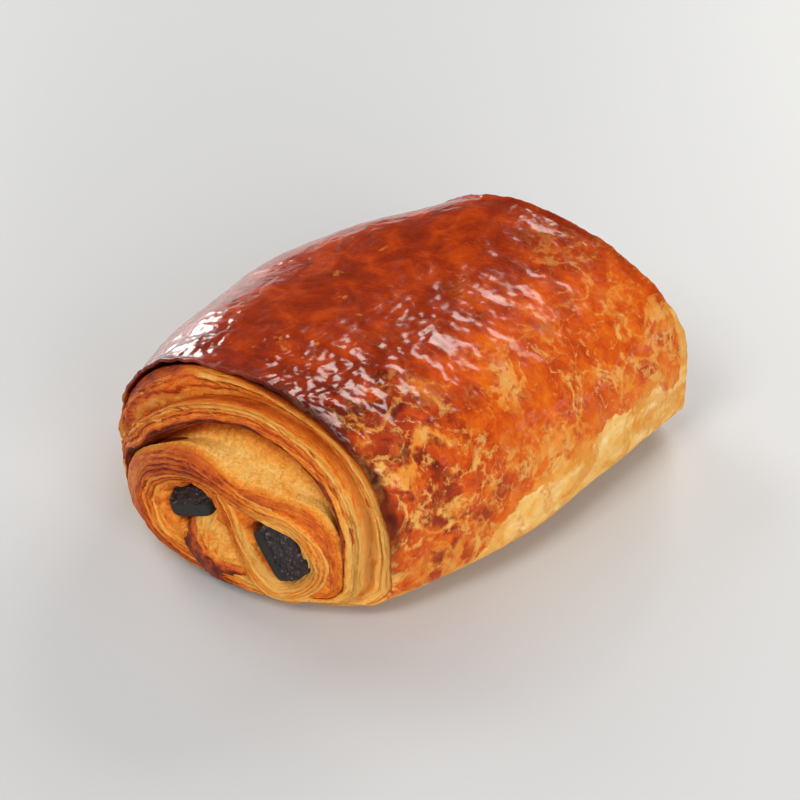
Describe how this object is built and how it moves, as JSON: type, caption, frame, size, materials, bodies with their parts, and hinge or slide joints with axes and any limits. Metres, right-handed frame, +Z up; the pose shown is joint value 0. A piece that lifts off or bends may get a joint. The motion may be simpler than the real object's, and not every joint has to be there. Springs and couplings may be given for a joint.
{
  "type": "pain au chocolat",
  "caption": "Rolled laminated pastry with a glossy crust, a layered scroll at each end and chocolate batons running through it.",
  "frame": {"origin": "middle of the base, on the surface that the pastry lies on", "axes": "+Z up; +Y along the batons, away from the scroll that the picture shows; +X to the right of someone who looks at that scroll"},
  "size_m": [0.0914, 0.1094, 0.0452],
  "materials": {
    "baked_dough": "egg-washed crust, glossy red-brown on top and golden at the sides, with matt layered ends",
    "chocolate": "dark baked chocolate, dull and slightly rough"
  },
  "bodies": {
    "root": {"dough": "baked_dough", "baton_left": "chocolate", "baton_right": "chocolate"}
  },
  "joints": []
}
